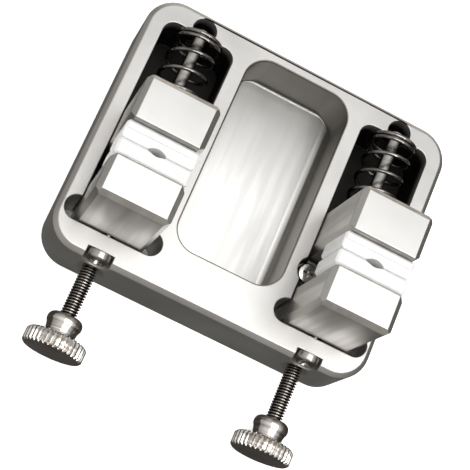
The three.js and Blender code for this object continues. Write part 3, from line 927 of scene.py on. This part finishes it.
def make_guide_rod(name):
    """A long pan-head screw whose smooth shank guides the rear jaw."""
    bm = bmesh.new()
    face, under = ROD_HEAD_FACE, ROD_HEAD_UNDER
    turned_on_y(
        bm,
        0,
        0,
        [
            (ROD_HEAD_RADIUS - 1.8, face),
            (ROD_HEAD_RADIUS - 1.1, face + 0.05),
            (ROD_HEAD_RADIUS - 0.55, face + 0.22),
            (ROD_HEAD_RADIUS - 0.2, face + 0.55),
            (ROD_HEAD_RADIUS - 0.03, face + 0.95),
            (ROD_HEAD_RADIUS, face + 1.3),
            (ROD_HEAD_RADIUS, under - 0.15),
            (ROD_HEAD_RADIUS - 0.15, under),
            (ROD_NECK_RADIUS, under),
            (ROD_NECK_RADIUS, ROD_SHOULDER),
            (ROD_RADIUS, ROD_SHOULDER),
            (ROD_RADIUS, ROD_END - 0.5),
            (ROD_RADIUS - 0.35, ROD_END - 0.1),
            (ROD_RADIUS - 0.6, ROD_END),
        ],
    )
    bm = cut_cross(f"{name}_rod_blank", bm, face, *ROD_CROSS)
    spot = Vector((SIDES[name] * CLAMP_X, 0, ROD_HEIGHT)) * MM
    bmesh.ops.translate(bm, verts=bm.verts, vec=spot)
    smooth_by_angle(bm, 32)
    add_piece(
        f"{name}_guide_screw", bm, "base", "rod_steel", [ROD_FINISH], f"{name}_guide_rod"
    )


def make_thumb_screw(name):
    """A knurled high-head thumb screw with a flared collar and a cut thread."""
    x = SIDES[name] * CLAMP_X
    back = COLLAR_BACK[name]
    front = back - COLLAR_LENGTH
    face = front - KNOB_DEPTH
    bm = bmesh.new()
    rim = KNOB_RADIUS
    head = turned_on_y(
        bm,
        x,
        SCREW_HEIGHT,
        [
            (rim - 2.2, face + 0.05),
            (rim - 0.75, face),
            (rim - 0.5, face + 0.05),
            (rim - 0.15, face + 0.35),
            (rim, face + 0.6),
            (rim, front - 0.6),
            (rim - 0.15, front - 0.35),
            (rim - 0.55, front - 0.03),
            (rim - 0.9, front),
            (COLLAR_WAIST + 0.45, front + 0.02),
            (COLLAR_WAIST + 0.15, front + 0.2),
            (COLLAR_WAIST, front + 0.6),
            (COLLAR_WAIST, front + 1.5),
            (COLLAR_WAIST + 0.08, front + 2.1),
            (COLLAR_WAIST + 0.25, front + 2.7),
            (COLLAR_RADIUS - 0.08, front + 3.25),
            (COLLAR_RADIUS, front + 3.6),
            (COLLAR_RADIUS, front + 4.1),
            (COLLAR_RADIUS - 0.12, front + 4.6),
            (COLLAR_RADIUS - 0.4, front + 5.05),
            (COLLAR_RADIUS - 0.8, front + 5.35),
            (COLLAR_RADIUS - 1.3, back - 0.02),
            (COLLAR_RADIUS - 1.7, back),
        ],
        KNOB_RIDGES * RIDGE_STEPS,
    )
    knurl(head, x, SCREW_HEIGHT, face + 0.2, front - 0.2, rim - 0.4)
    thread(bm, x, SCREW_HEIGHT, back - 0.4, SCREW_TIP[name] - 0.5)
    turned_on_y(
        bm,
        x,
        SCREW_HEIGHT,
        [
            (THREAD_ROOT, SCREW_TIP[name] - 1.6),
            (THREAD_ROOT, SCREW_TIP[name] - 0.3),
            (1.3, SCREW_TIP[name]),
        ],
        THREAD_STEPS,
    )
    bmesh.ops.recalc_face_normals(bm, faces=bm.faces)
    smooth_by_angle(bm, 34)
    add_piece(
        f"{name}_knurled_screw",
        bm,
        f"{name}_thumb_screw",
        "screw_nickel",
        [NICKEL_FINISH],
        f"{name}_thumb_screw",
    )


def make_hold_down(name):
    """The washer and the pan-head screw that hold the front jaw's foot."""
    x = SIDES[name] * HOLD_DOWN_X
    low, high = WASHER_BOTTOM, WASHER_BOTTOM + WASHER_THICKNESS
    bm = bmesh.new()
    turned_on_y(
        bm,
        0,
        0,
        [
            (WASHER_RADIUS - 0.1, low),
            (WASHER_RADIUS, low + 0.1),
            (WASHER_RADIUS, high - 0.1),
            (WASHER_RADIUS - 0.1, high),
        ],
        40,
    )
    hole = bmesh.new()
    turned_on_y(hole, 0, 0, [(WASHER_HOLE, low - 1), (WASHER_HOLE, high + 1)], 40)
    bm = cut_from(f"{name}_washer_blank", bm, hole)
    stand_up(bm, bm.verts, x, HOLD_DOWN_Y)
    smooth_by_angle(bm, 32)
    add_piece(
        f"{name}_washer", bm, "base", "screw_steel", [SCREW_FINISH], f"{name}_hold_down_washer"
    )
    under = high + SEAT_GAP
    top = under + HOLD_DOWN_HEAD_HEIGHT
    bm = bmesh.new()
    turned_on_y(
        bm,
        0,
        0,
        [
            (HOLD_DOWN_RADIUS - 0.3, HOLD_DOWN_FOOT),
            (HOLD_DOWN_RADIUS, HOLD_DOWN_FOOT + 0.3),
            (HOLD_DOWN_RADIUS, under - 0.1),
            (HOLD_DOWN_RADIUS + 0.1, under),
            (HOLD_DOWN_HEAD - 0.15, under),
            (HOLD_DOWN_HEAD, under + 0.15),
            (HOLD_DOWN_HEAD, top - 1.0),
            (HOLD_DOWN_HEAD - 0.1, top - 0.55),
            (HOLD_DOWN_HEAD - 0.4, top - 0.2),
            (HOLD_DOWN_HEAD - 1.0, top - 0.03),
            (HOLD_DOWN_HEAD - 1.5, top),
        ],
        40,
    )
    bm = cut_cross(f"{name}_hold_down_blank", bm, top, *HOLD_DOWN_CROSS, -1)
    stand_up(bm, bm.verts, x, HOLD_DOWN_Y)
    smooth_by_angle(bm, 32)
    add_piece(
        f"{name}_hold_down_pan_head",
        bm,
        "base",
        "screw_steel",
        [SCREW_FINISH],
        f"{name}_hold_down_screw",
    )


def make_jaw_bolt(name, place):
    """A countersunk bolt up through the floor into the front jaw, with a hexagon socket."""
    outward = 1 if place == "outer" else -1
    x = SIDES[name] * (CLAMP_X + outward * BOLT_OFFSET)
    bm = bmesh.new()
    turned_on_y(
        bm,
        0,
        0,
        [
            (BOLT_HEAD_RADIUS - 0.05, BOLT_BOTTOM),
            (BOLT_HEAD_RADIUS, BOLT_BOTTOM + 0.05),
            (BOLT_HEAD_RADIUS, BOLT_BOTTOM + 0.2),
            (BOLT_RADIUS, BOLT_BOTTOM + 0.2 + BOLT_HEAD_RADIUS - BOLT_RADIUS),
            (BOLT_RADIUS, BOLT_TOP - 0.3),
            (BOLT_RADIUS - 0.3, BOLT_TOP),
        ],
        40,
    )
    socket = bmesh.new()
    socket_end = BOLT_BOTTOM + BOLT_SOCKET_DEPTH
    turned_on_y(
        socket, 0, 0, [(BOLT_SOCKET_RADIUS, -0.5), (BOLT_SOCKET_RADIUS, socket_end)], 6
    )
    bm = cut_from(f"{name}_{place}_bolt_blank", bm, socket)
    stand_up(bm, bm.verts, x, BOLT_Y)
    smooth_by_angle(bm, 32)
    add_piece(
        f"{name}_{place}_bolt",
        bm,
        "base",
        "screw_steel",
        [SCREW_FINISH],
        f"{name}_{place}_jaw_bolt",
    )


# ---------------------------------------------------------------- the whole holder

make_camera()
bpy.context.scene.view_settings.view_transform = "Standard"
make_floor()
make_sky()
make_lights()
finish_base()
for side_name in SIDES:
    finish_jaws_and_pads(side_name)
    wind_spring(side_name)
    make_guide_rod(side_name)
    make_thumb_screw(side_name)
    make_hold_down(side_name)
    for bolt_place in ("inner", "outer"):
        make_jaw_bolt(side_name, bolt_place)
